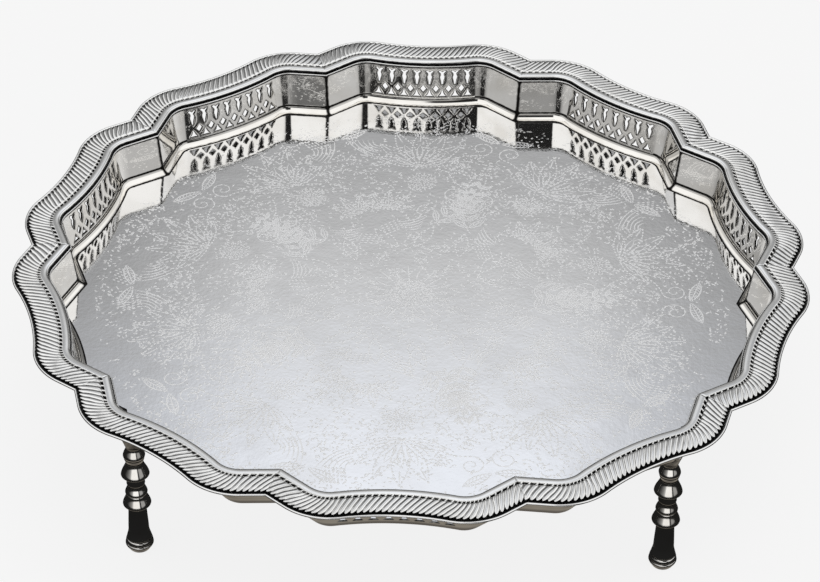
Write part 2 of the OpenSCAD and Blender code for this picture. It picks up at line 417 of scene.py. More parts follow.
def border_points():
    """Points and painted shade of one border section on the +X lobe. Height = moulding line + gadroon,
    where a gadroon's section is 1 - w^2 of its half width w. The band ends in a steep scalloped
    face, one rounded scallop to a gadroon, above the low groove; a row of square-sided pits
    lies behind the step. Painted shade darkens the pits, the scalloped ends, the hollow behind the
    wire, the groove, the lines between gadroons, the mitre seam and the underside."""
    section = border_section()
    length = piece_lengths(BAND_MID).sum()
    along = np.linspace(-length, length, GADROONS * GADROON_STEPS + 1)
    station = station_at(along, BAND_MID)[:, None]
    out, line = section[None, :, 0], section[None, :, 1]
    slant = GADROON_LEAN * (out - BAND_MID) / GADROON_PITCH
    phase = GADROONS * (along[:, None] / (2 * length) + 0.5) + slant
    w = 2 * (phase - np.floor(phase)) - 1
    ridge = 1 - w**2
    in_band = (out >= BAND_FROM) & (out < BAND_TO)

    end_at = BAND_OUT - SCALLOP * (1 - ridge)
    standing = smooth_step((end_at - out) / 0.3)
    swell = smooth_step((out - BAND_IN) / 0.9)
    top = line + GADROON_H * ridge * swell
    band_height = GROOVE_LEVEL + (top - GROOVE_LEVEL) * standing
    pit_row = smooth_step((out - PIT_IN) / 0.2) * (1 - smooth_step((out - PIT_OUT + 0.3) / 0.4))
    pit = pit_row * smooth_step((np.abs(w) - 0.22) / 0.15)
    to_seam = (length - np.abs(along))[:, None]
    seam = notch(to_seam, 0.25) * np.clip((out - 0.3) / 3, 0, 1)
    height = np.where(in_band, band_height, line) - PIT_DEEP * pit
    height = height - SEAM_DEEP * seam

    # Painted shade: the scalloped end faces, pits, lines between gadroons, the hollow behind the wire,
    # the groove and the mitre seam are darkened where shade falls.
    beyond = np.where(in_band, 1 - smooth_step((end_at - out - 0.25) / 0.25), 0.0)
    valley = smooth_step((np.abs(w) - 0.76) / 0.16) * smooth_step((out - BAND_IN) / 0.6) * in_band
    hollow = notch(out - HOLLOW_AT, 0.38)
    groove = notch(out - GROOVE_AT, 0.2) * np.clip(0.2 + w**2, 0, 1)
    recess = 0.55 * valley + 1.3 * beyond + 1.3 * pit + 0.95 * hollow + groove + 0.15 * seam

    under_shape = (2, len(along), len(BORDER_UNDER))
    under_out, under_height = np.broadcast_to(BORDER_UNDER.T[:, None], under_shape)
    all_out = np.concatenate([np.broadcast_to(out, height.shape), under_out], axis=1)
    all_height = np.concatenate([height, under_height], axis=1)
    # The underside gets a light, even painted shade.
    all_recess = np.concatenate([np.clip(recess, 0, 1), np.full(under_out.shape, 0.12)], axis=1)
    x, y = lobe_plan(station, all_out)
    points = np.stack([x, y, GALLERY_TOP + all_height], axis=-1)
    return points, all_recess


def make_border():
    """Ten border sections: each is a closed ring of the moulding swept along a lobe, with a
    flat end at each mitre."""
    points, recess = border_points()
    rings, sides = points.shape[:2]
    flat = points.reshape(-1, 3)
    quads = grid_quads(rings, sides, wrap=True)
    ends = [list(range(sides)), list(range(rings * sides - 1, (rings - 1) * sides - 1, -1))]
    faces = quads[:, ::-1].tolist() + ends
    for lobe in range(LOBES):
        make_piece(f"border_section_{lobe + 1:02d}", turn_lobe(flat, lobe), faces, BORDER_SILVER,
                   replaces=[f"border_{lobe + 1:02d}"], recess=recess.reshape(-1), crease=70)


# ---------------------------------------------------------------- gallery

# Heights of the piercing's zones are below the gallery's top; steps are points on an edge.
COLUMNS = 8
PANEL_L = 2 * piece_lengths(0.0)[0]
HALF_PITCH = PANEL_L / COLUMNS / 2
ZONE_TOP, VASE_FOOT, BELL_HEAD, KITE_FOOT, ZONE_BOTTOM = -1.2, -9.8, -13.0, -16.6, -19.2
TOP_STEPS, SIDE_STEPS, SLANT_STEPS, SHORT_STEPS = 6, 10, 7, 3
WALL_H = GALLERY_TOP - FLOOR_TOP
BEND_R = FLANGE - LEAN
BEND_END = WALL_H - BEND_R + BEND_R * math.pi / 2
FOOT_LINE = WALL_H - BEND_R + 1.3
FLANGE_LINE = BEND_END - 0.3
CUSP_STEPS = np.array([0.15, 0.3, 0.45, 0.6, 0.72, 0.82, 0.9, 0.96, 1])
RIM = 0.16


def wall_profile(drop):
    """Inner face of the gallery at a length drop down from its top: a leaning wall, then a
    quarter bend of radius BEND_R into the flange. Gives (out, z, normal out, normal z), the
    normal pointing into the sheet."""
    straight = WALL_H - BEND_R
    down = np.clip(drop / straight, 0, 1)
    turn = np.clip((drop - straight) / BEND_R, 0, math.pi / 2)
    out = -LEAN * down - BEND_R * (1 - np.cos(turn))
    z = GALLERY_TOP - straight * down - BEND_R * np.sin(turn)
    return out, z, np.cos(turn), -np.sin(turn)


def wall_points(along, drop, depth):
    """Points of the gallery strip: along is the length from the lobe's middle at its inner
    face, drop the length down the profile, depth the distance into the sheet."""
    along, drop, depth = np.broadcast_arrays(np.asarray(along, float), drop, depth)
    out, z, normal_out, normal_z = wall_profile(drop)
    x, y = lobe_plan(station_at(along, 0.0), out + depth * normal_out)
    return np.stack([x, y, z + depth * normal_z], axis=-1)


def edge_points(corners, steps):
    """Points along a polyline, evenly spaced on each edge, the last corner included."""
    parts = [np.linspace(a, b, count, endpoint=False)
             for a, b, count in zip(corners[:-1], corners[1:], steps)]
    return np.vstack(parts + [[corners[-1]]])


def mirrored_ring(half):
    """Closed ring from its right half, listed from the top to the bottom of its axis."""
    return np.vstack([half, half[-2:0:-1] * [-1, 1]])


def hole_cell(corners, steps, keys):
    """Ring of the cell's outline and ring of its hole. keys are [place on the outline, x, y],
    and the hole's edge is a smooth curve through them."""
    outline = edge_points(np.array(corners, float), steps)
    keys = np.array(keys, float)
    places = np.arange(len(outline))
    hole = np.column_stack([curve_through(keys[:, 0], keys[:, 1], places),
                            curve_through(keys[:, 0], keys[:, 2], places)])
    hole[[0, -1], 0] = 0
    return mirrored_ring(outline), mirrored_ring(hole)


def vase_cell():
    """Tall vase-shaped hole with an eared head, in a five-sided cell."""
    return hole_cell([(0, ZONE_TOP), (HALF_PITCH, ZONE_TOP), (HALF_PITCH, VASE_FOOT), (0, BELL_HEAD)],
                     [TOP_STEPS, SIDE_STEPS, SLANT_STEPS],
                     [[0, 0, -3.1], [2, 0.55, -2.65], [4, 1.35, -2.15], [6, 1.95, -2.5],
                      [7, 2.0, -3.1], [8, 1.6, -3.7], [9, 0.95, -4.3], [10, 0.75, -4.9],
                      [12, 1.15, -5.9], [14, 1.12, -7.1], [16, 0.7, -8.7], [19, 0.42, -10.3],
                      [21, 0.33, -11.0], [23, 0, -11.15]])


def kite_cell():
    """Kite-shaped hole between two columns."""
    return hole_cell([(0, VASE_FOOT), (HALF_PITCH, BELL_HEAD), (0, KITE_FOOT)],
                     [SLANT_STEPS, SLANT_STEPS],
                     [[0, 0, -10.9], [2, 0.35, -11.5], [5, 1.2, -12.7], [7, 1.62, -13.4],
                      [9, 1.25, -14.2], [12, 0.4, -15.3], [14, 0, -15.75]])


def bell_cell():
    """Bell-shaped hole under a vase."""
    return hole_cell([(0, BELL_HEAD), (HALF_PITCH, KITE_FOOT), (HALF_PITCH, ZONE_BOTTOM),
                      (0, ZONE_BOTTOM)],
                     [SLANT_STEPS, SHORT_STEPS, TOP_STEPS],
                     [[0, 0, -14.1], [2, 0.3, -14.5], [5, 0.62, -15.9], [7, 1.2, -17.0],
                      [9, 2.1, -17.7], [10, 2.4, -18.1], [11, 2.2, -18.3], [13, 1.2, -18.3],
                      [16, 0, -18.3]])


def cell_sheet(cell, centre):
    """Grid of one pierced cell, from its outline on the inner face to the hole, through the
    sheet and back to the outline on the outer face. A thin rim stands proud round the hole."""
    outline, hole = cell
    ways = np.array([0, 0.35, 0.62, 0.8, 0.9, 0.97, 1.0])
    rims = np.array([0, 0, 0.1, 0.9, 1.0, 0.7, 0.0]) * RIM
    inner = [(outline * (1 - t) + hole * t, -rim) for t, rim in zip(ways, rims)]
    outer = [(outline * (1 - t) + hole * t, SHEET) for t in ways[::-1][[0, 1, 4, 6]]]
    points = [wall_points(flat[:, 0] + centre, -flat[:, 1], depth) for flat, depth in inner + outer]
    # Painted shade round each hole: darkest on the thin rim and on the sheet's cut edge through the
    # hole, fading out across the faces.
    painted_shade_of_ring = [0.0, 0.0, 0.2, 0.85, 0.3, 0.15, 0.6, 0.6, 0.2, 0.05, 0.05]
    quads = grid_quads(len(points), len(outline), wrap=True)
    return np.vstack(points), quads, np.repeat(painted_shade_of_ring, len(outline))


def two_faced_sheet(along, drop, open_left=True, open_right=True, open_top=True, open_bottom=True):
    """Inner and outer faces of a rectangular or tapering grid of the strip (rows go down),
    with the edges that are not open closed between the faces. Painted shade darkens a line
    under the border, the creases at the wall's foot and flange, and the cusps' solder."""
    rows, cols = along.shape
    inner = wall_points(along, drop, 0.0).reshape(-1, 3)
    outer = wall_points(along, drop, SHEET).reshape(-1, 3)
    quads = grid_quads(rows, cols)
    count = rows * cols
    faces = [quads, quads[:, ::-1] + count]
    number = np.arange(count).reshape(rows, cols)
    edges = [(open_top, number[0, ::-1]), (open_bottom, number[-1]),
             (open_left, number[:, 0]), (open_right, number[::-1, -1])]
    for is_open, line in edges:
        if not is_open:
            closing = [line[:-1] + count, line[1:] + count, line[1:], line[:-1]]
            faces.append(np.stack(closing, axis=-1))
    down = drop.reshape(-1)
    to_cusp = (piece_lengths(0.0).sum() - np.abs(along)).reshape(-1)
    # Painted shade: a dark line under the border, in the creases at the wall's foot and flange, and at
    # the cusps' solder.
    crease = (notch(down - FOOT_LINE, 0.6) + notch(down, 1.0)
              + notch(down - FLANGE_LINE, 0.8) + notch(to_cusp, 1.0))
    crease = np.clip(crease, 0, 1)
    return np.vstack([inner, outer]), np.vstack(faces), np.concatenate([crease, np.zeros(count)])


def gallery_mesh():
    """Points, faces and painted shade of one gallery strip on the +X lobe."""
    parts = []
    edge = PANEL_L / 2
    centres = (np.arange(COLUMNS) - (COLUMNS - 1) / 2) * 2 * HALF_PITCH
    for centre in centres:
        parts.append(cell_sheet(vase_cell(), centre))
        parts.append(cell_sheet(bell_cell(), centre))
    for centre in centres[:-1] + HALF_PITCH:
        parts.append(cell_sheet(kite_cell(), centre))

    top_rows = np.linspace(0, -ZONE_TOP, 6)
    bend_rows = np.linspace(-ZONE_BOTTOM, BEND_END, 15)
    zone_columns = np.linspace(-edge, edge, 2 * COLUMNS * TOP_STEPS + 1)
    for rows, top, bottom in ((top_rows, False, True), (bend_rows, True, False)):
        along, drop = np.meshgrid(zone_columns, rows)
        parts.append(two_faced_sheet(along, drop, open_top=top, open_bottom=bottom))

    slant = edge_points(np.array([(0, VASE_FOOT), (-HALF_PITCH, BELL_HEAD), (0, KITE_FOOT)]),
                        [SLANT_STEPS, SLANT_STEPS])
    spread = np.linspace(0, 1, 4)[None, :]
    for side in (1, -1):
        inner_edge = slant[:, :1] * (1 - spread)
        along = side * (edge + inner_edge)[:, ::side]
        drop = np.broadcast_to(-slant[:, 1:], along.shape)
        parts.append(two_faced_sheet(along, drop))

    vase_rows = -np.linspace(ZONE_TOP, VASE_FOOT, SIDE_STEPS + 1)
    short_rows = -np.linspace(KITE_FOOT, ZONE_BOTTOM, SHORT_STEPS + 1)
    side_rows = np.concatenate([top_rows, vase_rows[1:], -slant[1:, 1], short_rows[1:],
                                bend_rows[1:]])
    corner, run = piece_lengths(0.0)[1:]
    columns = np.concatenate([edge + np.linspace(0, corner, 17), edge + corner + run * CUSP_STEPS])
    along, drop = np.meshgrid(columns, side_rows)
    parts.append(two_faced_sheet(along, drop, open_top=False, open_bottom=False, open_right=False))
    along, drop = np.meshgrid(-columns[::-1], side_rows)
    parts.append(two_faced_sheet(along, drop, open_top=False, open_bottom=False, open_left=False))

    points, quads, recess = zip(*parts)
    shifts = np.cumsum([0] + [len(part) for part in points[:-1]])
    quads = [part + shift for part, shift in zip(quads, shifts)]
    points, faces, kept = weld(np.vstack(points), np.vstack(quads))
    return points, faces, np.concatenate(recess)[kept]


def make_gallery():
    """Ten gallery strips, each one turned copy of the strip on +X."""
    points, faces, recess = gallery_mesh()
    for lobe in range(LOBES):
        make_piece(f"gallery_strip_{lobe + 1:02d}", turn_lobe(points, lobe), faces, GALLERY_SILVER,
                   replaces=[f"gallery_{lobe + 1:02d}"], recess=recess, crease=50)


# ---------------------------------------------------------------- engraved floor

ENGRAVED_R = 162
STIPPLED_R = 160
STIPPLES = 10500
LONG_CUT = 3.2
LONG_STEPS, LONG_STEEP = 6, 0.10
SHORT_CUT_STEPS, SHORT_STEEP = 2, 0.13
CUT_LIFT = 0.004
CREST_SET = 0.4


def strokes_to_mesh(strokes, steps, steep):
    """Engraved cuts as low tapering ridges. Each stroke is [x0, y0, x1, y1, bow, width]: its
    middle line bows sideways by bow * 4t(1-t), its half width is width/2 * sqrt(sin(pi t)),
    and its crest stands steep * half width high, set back from the middle by CREST_SET of the
    half width, so that the broad facet of each cut faces the front."""
    t = np.linspace(0, 1, steps + 1)
    start, way = strokes[:, None, 0:2], (strokes[:, None, 2:4] - strokes[:, None, 0:2])
    length = np.linalg.norm(way, axis=2, keepdims=True)
    across = np.stack([-way[..., 1], way[..., 0]], axis=-1) / length
    bow = strokes[:, 4][:, None, None] * 4 * (t * (1 - t))[None, :, None]
    line = start + way * t[None, :, None] + across * bow
    taper = np.sqrt(np.sin(math.pi * np.clip(t, 0.04, 0.96)))
    half = strokes[:, 5][:, None, None] / 2 * taper[None, :, None]
    facing = np.where(across[..., 1:] < 0, -CREST_SET, CREST_SET)
    points = np.stack([line + across * half, line + across * half * facing,
                       line - across * half], axis=2)
    heights = CUT_LIFT + steep * half * np.array([0, 1, 0])
    points = np.concatenate([points, (FLOOR_TOP + heights)[..., None]], axis=-1).reshape(-1, 3)
    cell = grid_quads(steps + 1, 3)
    quads = (cell[None] + 3 * (steps + 1) * np.arange(len(strokes))[:, None, None]).reshape(-1, 4)
    return points, quads


def place(strokes, x, y, angle, size=1.0, flip=1):
    """Moves strokes of a motif to x, y, turned by angle and scaled; flip -1 mirrors them."""
    strokes = np.array(strokes, float)
    c, s = math.cos(angle) * size, math.sin(angle) * size
    moved = strokes.copy()
    for i in (0, 2):
        px, py = strokes[:, i], strokes[:, i + 1] * flip
        moved[:, i] = x + px * c - py * s
        moved[:, i + 1] = y + px * s + py * c
    moved[:, 4] = strokes[:, 4] * size * flip
    return moved


def dotted(strokes, pitch=2.3, dot=1.6, width=1.1):
    """Breaks bowed strokes into rows of short cuts that follow the same bowed line."""
    cuts = []
    for x0, y0, x1, y1, bow in np.asarray(strokes, float)[:, :5]:
        way = np.array([x1 - x0, y1 - y0])
        length = np.linalg.norm(way)
        across = np.array([-way[1], way[0]]) / length
        t = np.arange(0.5 * pitch, length, pitch) / length
        half = 0.5 * dot / length
        ends = [np.array([x0, y0]) + way * u[:, None] + across * (bow * 4 * u * (1 - u))[:, None]
                for u in (t - half, t + half)]
        cuts.append(np.column_stack([*ends, np.zeros(len(t)), np.full(len(t), width)]))
    return np.vstack(cuts)


def leaf(length, width, veins):
    """A leaf along +X: two bowed sides, a midrib and slanted vein cuts on both halves."""
    strokes = [[0, 0, length, 0, width, 0.8], [0, 0, length, 0, -width, 0.8],
               [0, 0, length * 0.9, 0, 0, 0.7]]
    for i in range(1, veins + 1):
        t = i / (veins + 1)
        reach = 4 * width * t * (1 - t)
        for side in (1, -1):
            strokes.append([length * t, 0.15 * side * reach, length * (t + 0.1), 0.85 * side * reach,
                            0.12 * reach * side, 0.6])
    return strokes


def outline_leaf(length, width):
    """A leaf along +X as two dotted sides."""
    return dotted([[0, 0, length, 0, width, 0.5], [0, 0, length, 0, -width, 0.5]])


def feather(length, lines, gap, bow):
    """Parallel bowed cuts, shorter towards the outside."""
    return [[length * 0.04 * i, gap * i, length * (1 - 0.09 * i), gap * i, bow, 0.75]
            for i in range(lines)]


def dash_rows(columns, rows, pitch, gap):
    """Rows of short level cuts, like shading on a petal."""
    return [[pitch * c + 0.5 * r, gap * r, pitch * (c + 0.6) + 0.5 * r, gap * r, 0, 1.1]
            for r in range(rows) for c in range(columns - r // 2)]


def palmette(leaves, reach, rng):
    """A fan of leaves that open from one root: dotted outlines with fine bowed lines inside."""
    parts = []
    for i in range(leaves):
        u = i / (leaves - 1) * 2 - 1
        length = reach * (1 - 0.28 * u * u) * rng.uniform(0.94, 1.04)
        parts.append(place(outline_leaf(length, 0.13 * length), 0, 0, 1.25 * u))
        for k in (-1, 1):
            inner = [[0.18 * length, 0, 0.62 * length, 0, 0.05 * k * length, 0.6]]
            parts.append(place(inner, 0, 0, 1.25 * u))
        tip = [[length * 0.7, 0, length * 0.95, 0, 0, 0.8]]
        parts.append(place(tip, 0, 0, 1.25 * u))
    return np.vstack(parts)


def rings(radii, cuts):
    """Circles about one centre, each of bowed cuts end to end."""
    strokes = []
    for radius in radii:
        for i in range(cuts):
            a, b = TAU * i / cuts, TAU * (i + 0.82) / cuts
            strokes.append([radius * math.cos(a), radius * math.sin(a), radius * math.cos(b),
                            radius * math.sin(b), -0.12 * radius * (6 / cuts), 0.8])
    return strokes


def flower(petals, radius):
    """Petals of two bowed sides each round a ring of short cuts."""
    strokes = rings([0.16 * radius, 0.26 * radius], 8)
    dots = []
    for i in range(petals):
        a = TAU * i / petals
        root = [0.3 * radius * math.cos(a), 0.3 * radius * math.sin(a)]
        tip = [radius * math.cos(a), radius * math.sin(a)]
        for side in (1, -1):
            dots.append([*root, *tip, side * 0.2 * radius, 0.5])
        b = a + math.pi / petals
        strokes.append([0.5 * radius * math.cos(a), 0.5 * radius * math.sin(a),
                        0.85 * radius * math.cos(a), 0.85 * radius * math.sin(a), 0.03 * radius, 0.7])
        strokes.append([0.55 * radius * math.cos(b), 0.55 * radius * math.sin(b),
                        1.0 * radius * math.cos(b), 1.0 * radius * math.sin(b), 0, 0.7])
    return np.vstack([strokes, dotted(dots, 2.0, 1.4, 1.0)])


def scroll(radius, turns, tail):
    """A spiral of bowed cuts whose radius falls evenly, with a tail leaving it along -X."""
    cuts = int(9 * turns)
    angle = np.linspace(0, TAU * turns, cuts + 1) - math.pi / 2
    size = np.linspace(radius, 0.12 * radius, cuts + 1)
    x, y = size * np.cos(angle), size * np.sin(angle) + radius
    strokes = [[x[i], y[i], x[i + 1], y[i + 1], -0.06 * size[i], 0.85] for i in range(cuts)]
    tail_line = dotted([[0, 0, -tail, -0.12 * tail, -0.1 * tail, 0.5]])
    return np.vstack([strokes, tail_line])


def spray(rng):
    """A curved branch along +X with paired leaves that shrink towards its tip."""
    parts = [dotted([[0, 0, 30, 3, 3.0, 0.55], [30, 3, 56, -2, 3.0, 0.5]], 2.4, 1.8, 1.1)]
    for i in range(7):
        t = i / 7
        x, y = 5 + 46 * t, 3.4 * math.sin(math.pi * t) + 1.5 * (1 - t)
        for side in (1, -1):
            size = (1 - 0.5 * t) * rng.uniform(0.9, 1.15)
            parts.append(place(leaf(11, 1.7, 2), x, y, side * rng.uniform(0.7, 1.0), size, side))
    return np.vstack(parts)


def stippling(rng, count):
    """Short cuts in every direction, gathered in patches by a sum of waves over the floor."""
    radius = STIPPLED_R * np.sqrt(rng.uniform(0.0, 1, count * 4))
    angle = rng.uniform(0, TAU, count * 4)
    swirl = np.cos(5 * angle + 0.05 * radius) * np.sin(0.11 * radius + 2 * np.cos(5 * angle))
    fine = np.sin(0.31 * radius * np.cos(angle) + 1.3) * np.sin(0.29 * radius * np.sin(angle))
    kept = np.flatnonzero(rng.uniform(-0.5, 1.0, count * 4) < 0.7 * swirl + 0.5 * fine)[:count]
    radius, angle = radius[kept], angle[kept]
    facing = rng.uniform(0, TAU, len(radius))
    length = rng.uniform(0.8, 2.3, len(radius))
    x, y = radius * np.cos(angle), radius * np.sin(angle)
    return np.column_stack([x, y, x + length * np.cos(facing), y + length * np.sin(facing),
                            rng.uniform(-0.3, 0.3, len(radius)), rng.uniform(0.6, 1.3, len(radius))])


def lobe_engraving(lobe, rng):
    """The cuts of one tenth of the floor, in the tray's frame. Tenths are mirrored in turn."""
    parts = []
    axis = HALF_LOBE * (2 * lobe + 1)
    turn = 1 if lobe % 2 else -1

    def at(radius, angle, motif, facing, size=1.0, flip=1):
        """Adds a motif at a radius and an angle from the lobe's axis."""
        parts.append(place(motif, radius * math.cos(axis + angle), radius * math.sin(axis + angle),
                           axis + angle + facing, size, flip))

    at(112, 0.0, palmette(7, 34, rng), 0.0)
    at(60, 0.12 * turn, spray(rng), 0.5 * turn, 0.95, turn)
    at(74, -0.22 * turn, palmette(5, 18, rng), 0.3 * turn)
    at(96, 0.27 * turn, scroll(7.5, 1.6, 18), 2.2 * turn, 1.0, turn)
    at(128, 0.27 * turn, scroll(6.5, 1.5, 16), 1.2 * turn, 1.0, -turn)
    at(98, -0.02, flower(7, 8.5), 0.3)
    at(84, 0.26 * turn, rings([2.2, 4.2, 6.2], 10), 0.0)
    at(62, -0.16 * turn, feather(17, 5, 2.0, 1.6), 1.3 * turn, 1.0, turn)
    at(122, -0.20 * turn, feather(22, 6, 2.0, -2.0), -0.6 * turn, 1.0, turn)
    at(138, -0.26 * turn, dash_rows(6, 6, 2.6, 1.8), 0.4 * turn)
    at(52, -0.30 * turn, dash_rows(6, 5, 2.6, 1.8), 1.2 * turn)
    at(148, 0.20, leaf(17, 2.6, 7), 2.0)
    at(148, -0.20, leaf(17, 2.6, 7), -2.0)
    at(40, 0.0, outline_leaf(20, 3.2), 0.5 * turn)
    at(40, 0.2, outline_leaf(20, 3.2), -0.5 * turn)
    margin = np.linspace(-27, 27, 46)
    sx, sy = lobe_plan(station_at(margin, 0.0), -8.5)
    ex, ey = lobe_plan(station_at(margin + 1.6, 0.0), -12.0)
    bow, width = np.full(len(margin), 0.25), np.full(len(margin), 0.5)
    parts.append(place(np.column_stack([sx, sy, ex, ey, bow, width]), 0, 0, axis))
    return np.vstack(parts)


def make_engraving():
    """All cuts of the floor: a centre flower, ten tenths and stippling. Long cuts get more
    steps than short ones."""
    rng = np.random.default_rng(7)
    centre = np.vstack([place(flower(10, 24), 0, 0, 0.1), place(flower(10, 12), 0, 0, 0.4)])
    tenths = [lobe_engraving(lobe, rng) for lobe in range(LOBES)]
    strokes = np.vstack([centre] + tenths + [stippling(rng, STIPPLES)])
    reach = np.hypot(strokes[:, [0, 2]], strokes[:, [1, 3]]).max(axis=1)
    strokes = strokes[reach < ENGRAVED_R]
    long = np.hypot(strokes[:, 2] - strokes[:, 0], strokes[:, 3] - strokes[:, 1]) > LONG_CUT
    long_points, long_quads = strokes_to_mesh(strokes[long], LONG_STEPS, LONG_STEEP)
    short_points, short_quads = strokes_to_mesh(strokes[~long], SHORT_CUT_STEPS,
                                                SHORT_STEEP)
    points = np.vstack([long_points, short_points])
    quads = np.vstack([long_quads, short_quads + len(long_points)])
    make_piece("floor_engraving", points, quads.tolist(), ENGRAVED_SILVER, crease=180)


# ---------------------------------------------------------------- legs

# Height and radius of each swell and waist, and height and depth of each fine groove
LEG_SWELLS = np.array([
    [0, 5.2], [3.2, 6.9], [11.8, 5.05], [26.8, 4.4], [28.9, 6.9], [34.8, 4.9], [36.1, 5.45],
    [40.2, 4.1], [41.7, 4.5], [45.6, 4.0], [47.5, 6.9], [54.7, 4.25], [59.4, 5.35], [64.2, 3.7]])
LEG_GROOVES = np.array([[4.4, 0.5], [6.8, 0.5], [35.3, 0.45], [41.0, 0.35], [46.3, 0.3],
                        [55.6, 0.25], [58.2, 0.2]])
GROOVE_W = 0.3
# Heights of the waists that get painted shade.
PAINTED_SHADE_WAISTS = LEG_SWELLS[[3, 7, 9, 11], 0]
FOOT_R, FOOT_EDGE_R = 4.9, 5.15
COLLAR_R, COLLAR_FLARE, COLLAR_BORE_R = 3.7, 2.1, 5.0
# An even painted shade over the whole collar, which sits in shade under the floor.
COLLAR_PAINTED_SHADE = 0.45
AROUND = 72
THREAD_PITCH, THREAD_H, THREAD_RUN_OUT, THREAD_AROUND = 0.7, 0.28, 0.8, 36


def leg_radius(height):
    """Radius at a height: between swells the mean of a straight cone and (1 - cos) / 2 easing,
    less fine grooves."""
    knots, radii = LEG_SWELLS.T
    i = np.clip(np.searchsorted(knots, height, side="right") - 1, 0, len(knots) - 2)
    t = np.clip((height - knots[i]) / (knots[i + 1] - knots[i]), 0, 1)
    eased = 0.55 * t + 0.45 * (1 - np.cos(math.pi * t)) / 2
    radius = radii[i] + (radii[i + 1] - radii[i]) * eased
    for at, deep in LEG_GROOVES:
        radius = radius - deep * notch(height - at, GROOVE_W)
    return radius


def lathe(radii, heights, centre, around=AROUND):
    """Surface about a vertical axis at centre. radii has a row for each height, and one column
    or one for each angle; rows of zero radius close the ends."""
    angle = np.linspace(0, TAU, around, endpoint=False)
    x = centre[0] + radii * np.cos(angle)
    y = centre[1] + radii * np.sin(angle)
    z = np.broadcast_to(heights[:, None], x.shape)
    points = np.stack([x, y, z], axis=-1).reshape(-1, 3)
    return points, grid_quads(len(heights), around, wrap=True)


def bend_underside(out):
    """Height of the sheet's underside above the flat floor's underside, at a distance out."""
    reach = np.clip(out + FLANGE, 0, BEND_R + SHEET - 0.3)
    return (BEND_R + SHEET) - np.sqrt((BEND_R + SHEET) ** 2 - reach**2)


def leg_centre(node):
    """Plan point of a leg's, collar's or stud's axis."""
    low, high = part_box(node)
    return np.array([(low.x + high.x) / 2, (low.y + high.y) / 2]) / MM


def make_leg(corner):
    """Turned leg with a flat foot; its grooves and waists are darkened with painted shade."""
    heights = np.concatenate([[0, 0, 0.12, 0.4], np.arange(0.7, NECK, 0.24), [NECK, NECK]])
    radii = leg_radius(heights)
    radii[:3] = [0, FOOT_R, FOOT_EDGE_R]
    radii[-1] = 0
    points, faces = weld(*lathe(radii[:, None], heights, leg_centre("leg_" + corner)))[:2]
    z = points[:, 2]
    # Painted shade in the fine grooves and round the waists of the leg.
    recess = sum(0.9 * notch(z - at, GROOVE_W) for at in LEG_GROOVES[:, 0])
    recess += sum(0.4 * notch(z - at, 0.8) for at in PAINTED_SHADE_WAISTS)
    make_piece("turned_leg_" + corner, points, faces, LEG_SILVER,
               replaces=["leg_" + corner], recess=np.clip(recess, 0, 1), crease=60)


def make_boss(corner):
    """Flared collar under the floor; its top follows the bend of the sheet above it."""
    centre = leg_centre("boss_" + corner)
    flare = np.linspace(0, 1, 12)
    heights = np.concatenate([[NECK], NECK + (FLOOR_BOTTOM - NECK) * flare,
                              [FLOOR_BOTTOM, FLOOR_BOTTOM]])
    side = COLLAR_R + COLLAR_FLARE * (1 - np.cos(math.pi * flare)) / 2
    radii = np.concatenate([[0], side, [COLLAR_BORE_R, 0]])
    points, quads = lathe(radii[:, None], heights, centre)
    lobe = math.atan2(centre[1], centre[0]) % TAU // (2 * HALF_LOBE)
    a = -HALF_LOBE * (2 * lobe + 1)
    local_x = points[:, 0] * math.cos(a) - points[:, 1] * math.sin(a)
    local_y = points[:, 0] * math.sin(a) + points[:, 1] * math.cos(a)
    out = np.hypot(local_x - CORNER[0], np.abs(local_y) - CORNER[1]) - corner_radius(0.0)
    share = smooth_step((points[:, 2] - NECK) / (FLOOR_BOTTOM - NECK))
    points[:, 2] += share * bend_underside(out)
    points, faces = weld(points, quads)[:2]
    # the whole collar gets an even painted shade
    make_piece("leg_collar_" + corner, points, faces, LEG_SILVER,
               replaces=["boss_" + corner], recess=np.full(len(points), COLLAR_PAINTED_SHADE), crease=60)


def make_stud(corner):
    """Threaded stud: radius = core + THREAD_H * triangle(z / pitch - angle / 2 pi), run out
    plain at both ends."""
    low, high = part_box("stud_" + corner)
    bottom, top = low.z / MM, high.z / MM
    core = (high.x - low.x) / MM / 2 - THREAD_H
    heights = np.linspace(bottom, top, 100)
    angle = np.linspace(0, TAU, THREAD_AROUND, endpoint=False)
    wave = (heights[:, None] / THREAD_PITCH - angle[None, :] / TAU) % 1
    fade = (smooth_step((heights - bottom) / THREAD_RUN_OUT)
            * smooth_step((top - heights) / THREAD_RUN_OUT))
    radius = core + THREAD_H * (1 - np.abs(2 * wave - 1)) * fade[:, None]
    closed = np.zeros((1, THREAD_AROUND))
    points, faces = weld(*lathe(np.vstack([closed, radius, closed]),
                                np.concatenate([[bottom], heights, [top]]),
                                leg_centre("stud_" + corner), THREAD_AROUND))[:2]
    make_piece("threaded_stud_" + corner, points, faces, STUD_STEEL,
               replaces=["stud_" + corner], recess=np.zeros(len(points)), crease=60)


# ---------------------------------------------------------------- build

make_border()
make_gallery()
make_engraving()
for corner in ("front_left", "front_right", "back_right", "back_left"):
    make_leg(corner)
    make_boss(corner)
    make_stud(corner)

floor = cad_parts["floor_plate"]
for slot in floor.material_slots:
    slot.material = FLOOR_SILVER


# ---------------------------------------------------------------- camera, light and table

